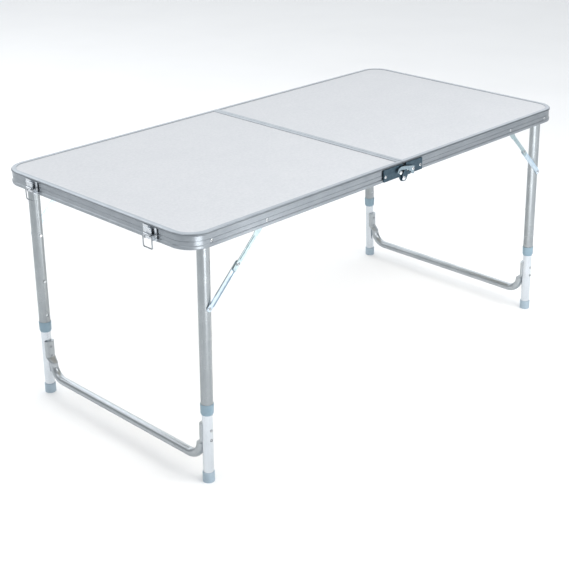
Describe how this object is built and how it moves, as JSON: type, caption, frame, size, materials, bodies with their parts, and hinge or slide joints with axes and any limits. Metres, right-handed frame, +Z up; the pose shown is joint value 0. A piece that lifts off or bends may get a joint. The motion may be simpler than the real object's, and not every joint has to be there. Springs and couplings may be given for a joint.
{
  "type": "folding table",
  "caption": "Rectangular two-leaf folding table on riveted aluminium frames, with braced fold-in legs that extend, side hinges with hooks, case latches and a carrying handle.",
  "frame": {"origin": "floor level under the centre of the open table, midway between the four feet", "axes": "+X along the table from the latch end to the handle end, -Y toward the front long side, +Z up"},
  "size_m": [1.2218, 0.6168, 0.545],
  "materials": {
    "top_laminate": "mottled white melamine laminate on thin board",
    "frame_aluminium": "satin anodised extrusion with fine lengthwise lines",
    "tube_aluminium": "satin anodised drawn tube",
    "collar_plastic": "moulded grey-blue plastic",
    "foot_plastic": "moulded grey plastic",
    "brace_zinc": "bright zinc plate with a blue cast",
    "hinge_zinc": "dark zinc plate",
    "bracket_zinc": "zinc plate",
    "rivet_steel": "bright rivet steel",
    "latch_steel": "nickel-plated pressed steel",
    "wire_steel": "plated spring wire",
    "button_steel": "plated steel",
    "spring_steel": "tempered strip",
    "handle_plastic": "moulded grey plastic"
  },
  "bodies": {
    "left_leaf": {"left_top_panel": "top_laminate", "left_frame": "frame_aluminium", "left_centre_rail": "frame_aluminium", "left_rail_brackets": "bracket_zinc", "left_front_hinge_plate": "hinge_zinc", "left_rear_hinge_plate": "hinge_zinc", "lock_studs": "rivet_steel", "left_frame_rivets": "rivet_steel", "latch_bases": "latch_steel"},
    "hinge_pins": {"hinge_pins": "rivet_steel"},
    "right_leaf": {"right_top_panel": "top_laminate", "right_frame": "frame_aluminium", "right_centre_rail": "frame_aluminium", "right_rail_brackets": "bracket_zinc", "right_front_hinge_plate": "hinge_zinc", "right_rear_hinge_plate": "hinge_zinc", "right_frame_rivets": "rivet_steel", "latch_keepers": "latch_steel", "handle_brackets": "latch_steel"},
    "front_lock_hook": {"front_lock_hook": "hinge_zinc"},
    "rear_lock_hook": {"rear_lock_hook": "hinge_zinc"},
    "front_latch_lever": {"front_latch_lever": "latch_steel"},
    "rear_latch_lever": {"rear_latch_lever": "latch_steel"},
    "front_latch_loop": {"front_latch_loop": "wire_steel"},
    "rear_latch_loop": {"rear_latch_loop": "wire_steel"},
    "handle_grip": {"handle_grip": "handle_plastic"},
    "left_leg": {"left_front_upper_tube": "tube_aluminium", "left_rear_upper_tube": "tube_aluminium", "left_collars": "collar_plastic", "left_leg_rivets": "rivet_steel"},
    "left_leg_extension": {"left_front_lower_tube": "tube_aluminium", "left_rear_lower_tube": "tube_aluminium", "left_stretcher": "tube_aluminium", "left_stretcher_rivets": "rivet_steel", "left_feet": "foot_plastic", "left_button_springs": "spring_steel"},
    "left_front_snap_button": {"left_front_snap_button": "button_steel"},
    "left_rear_snap_button": {"left_rear_snap_button": "button_steel"},
    "left_upper_braces": {"left_front_upper_brace": "brace_zinc", "left_rear_upper_brace": "brace_zinc", "left_knuckle_rivets": "rivet_steel"},
    "left_lower_braces": {"left_front_lower_brace": "brace_zinc", "left_rear_lower_brace": "brace_zinc"},
    "right_leg": {"right_front_upper_tube": "tube_aluminium", "right_rear_upper_tube": "tube_aluminium", "right_collars": "collar_plastic", "right_leg_rivets": "rivet_steel"},
    "right_leg_extension": {"right_front_lower_tube": "tube_aluminium", "right_rear_lower_tube": "tube_aluminium", "right_stretcher": "tube_aluminium", "right_stretcher_rivets": "rivet_steel", "right_feet": "foot_plastic", "right_button_springs": "spring_steel"},
    "right_front_snap_button": {"right_front_snap_button": "button_steel"},
    "right_rear_snap_button": {"right_rear_snap_button": "button_steel"},
    "right_upper_braces": {"right_front_upper_brace": "brace_zinc", "right_rear_upper_brace": "brace_zinc", "right_knuckle_rivets": "rivet_steel"},
    "right_lower_braces": {"right_front_lower_brace": "brace_zinc", "right_rear_lower_brace": "brace_zinc"}
  },
  "joints": [
    {"name": "hinge_pin_turn", "type": "hinge", "parent": "left_leaf", "child": "hinge_pins", "pos_m": [0, 0, 0.509], "axis": [0, 1, 0], "range_deg": [0, 90]},
    {"name": "right_leaf_fold", "type": "hinge", "parent": "hinge_pins", "child": "right_leaf", "pos_m": [0, 0, 0.509], "axis": [0, 1, 0], "range_deg": [0, 90]},
    {"name": "front_lock_hook_turn", "type": "hinge", "parent": "right_leaf", "child": "front_lock_hook", "pos_m": [0.028, -0.3055, 0.525], "axis": [0, 1, 0], "range_deg": [0, 50]},
    {"name": "rear_lock_hook_turn", "type": "hinge", "parent": "right_leaf", "child": "rear_lock_hook", "pos_m": [0.028, 0.3055, 0.525], "axis": [0, 1, 0], "range_deg": [0, 50]},
    {"name": "front_latch_lever_turn", "type": "hinge", "parent": "left_leaf", "child": "front_latch_lever", "pos_m": [-0.6046, -0.19, 0.519], "axis": [0, 1, 0], "range_deg": [-110, 0]},
    {"name": "front_latch_loop_swing", "type": "hinge", "parent": "front_latch_lever", "child": "front_latch_loop", "pos_m": [-0.6082, -0.19, 0.525], "axis": [0, 1, 0], "range_deg": [0, 110]},
    {"name": "rear_latch_lever_turn", "type": "hinge", "parent": "left_leaf", "child": "rear_latch_lever", "pos_m": [-0.6046, 0.19, 0.519], "axis": [0, 1, 0], "range_deg": [-110, 0]},
    {"name": "rear_latch_loop_swing", "type": "hinge", "parent": "rear_latch_lever", "child": "rear_latch_loop", "pos_m": [-0.6082, 0.19, 0.525], "axis": [0, 1, 0], "range_deg": [0, 110]},
    {"name": "handle_swing", "type": "hinge", "parent": "right_leaf", "child": "handle_grip", "pos_m": [0.606, 0, 0.528], "axis": [0, -1, 0], "range_deg": [0, 150]},
    {"name": "left_leg_fold", "type": "hinge", "parent": "left_leaf", "child": "left_leg", "pos_m": [-0.545, 0, 0.525], "axis": [0, -1, 0], "range_deg": [0, 91.75]},
    {"name": "left_leg_extend", "type": "slide", "parent": "left_leg", "child": "left_leg_extension", "axis": [0.0305, 0, 0.9995], "range_m": [-0.082, 0], "deforming": ["left_front_snap_button", "left_rear_snap_button"]},
    {"name": "left_front_button_press", "type": "slide", "parent": "left_leg_extension", "child": "left_front_snap_button", "axis": [0, -1, 0], "range_m": [0, 0.0043], "stiffness_N_per_m": 600, "springref_m": -0.003, "deforming": ["left_button_springs"]},
    {"name": "left_rear_button_press", "type": "slide", "parent": "left_leg_extension", "child": "left_rear_snap_button", "axis": [0, 1, 0], "range_m": [0, 0.0043], "stiffness_N_per_m": 600, "springref_m": -0.003, "deforming": ["left_button_springs"]},
    {"name": "left_upper_brace_turn", "type": "hinge", "parent": "left_leaf", "child": "left_upper_braces", "pos_m": [-0.4035, 0, 0.525], "axis": [0, -1, 0], "range_deg": [-44.08, 0]},
    {"name": "left_lower_brace_turn", "type": "hinge", "parent": "left_leg", "child": "left_lower_braces", "pos_m": [-0.54929, 0, 0.38406], "axis": [0, -1, 0], "range_deg": [0, 44.28]},
    {"name": "right_leg_fold", "type": "hinge", "parent": "right_leaf", "child": "right_leg", "pos_m": [0.545, 0, 0.525], "axis": [0, 1, 0], "range_deg": [0, 91.75]},
    {"name": "right_leg_extend", "type": "slide", "parent": "right_leg", "child": "right_leg_extension", "axis": [-0.0305, 0, 0.9995], "range_m": [-0.082, 0], "deforming": ["right_front_snap_button", "right_rear_snap_button"]},
    {"name": "right_front_button_press", "type": "slide", "parent": "right_leg_extension", "child": "right_front_snap_button", "axis": [0, -1, 0], "range_m": [0, 0.0043], "stiffness_N_per_m": 600, "springref_m": -0.003, "deforming": ["right_button_springs"]},
    {"name": "right_rear_button_press", "type": "slide", "parent": "right_leg_extension", "child": "right_rear_snap_button", "axis": [0, 1, 0], "range_m": [0, 0.0043], "stiffness_N_per_m": 600, "springref_m": -0.003, "deforming": ["right_button_springs"]},
    {"name": "right_upper_brace_turn", "type": "hinge", "parent": "right_leaf", "child": "right_upper_braces", "pos_m": [0.4035, 0, 0.525], "axis": [0, 1, 0], "range_deg": [-44.08, 0]},
    {"name": "right_lower_brace_turn", "type": "hinge", "parent": "right_leg", "child": "right_lower_braces", "pos_m": [0.54929, 0, 0.38406], "axis": [0, 1, 0], "range_deg": [0, 44.28]}
  ],
  "couplings": [
    {"joint": "front_latch_loop_swing", "follows": "front_latch_lever_turn", "ratio": -1},
    {"joint": "rear_latch_loop_swing", "follows": "rear_latch_lever_turn", "ratio": -1},
    {"joint": "left_upper_brace_turn", "follows": "left_leg_fold", "ratio": -0.47991},
    {"joint": "left_lower_brace_turn", "follows": "left_leg_fold", "ratio": 0.48205},
    {"joint": "right_upper_brace_turn", "follows": "right_leg_fold", "ratio": -0.47991},
    {"joint": "right_lower_brace_turn", "follows": "right_leg_fold", "ratio": 0.48205}
  ]
}
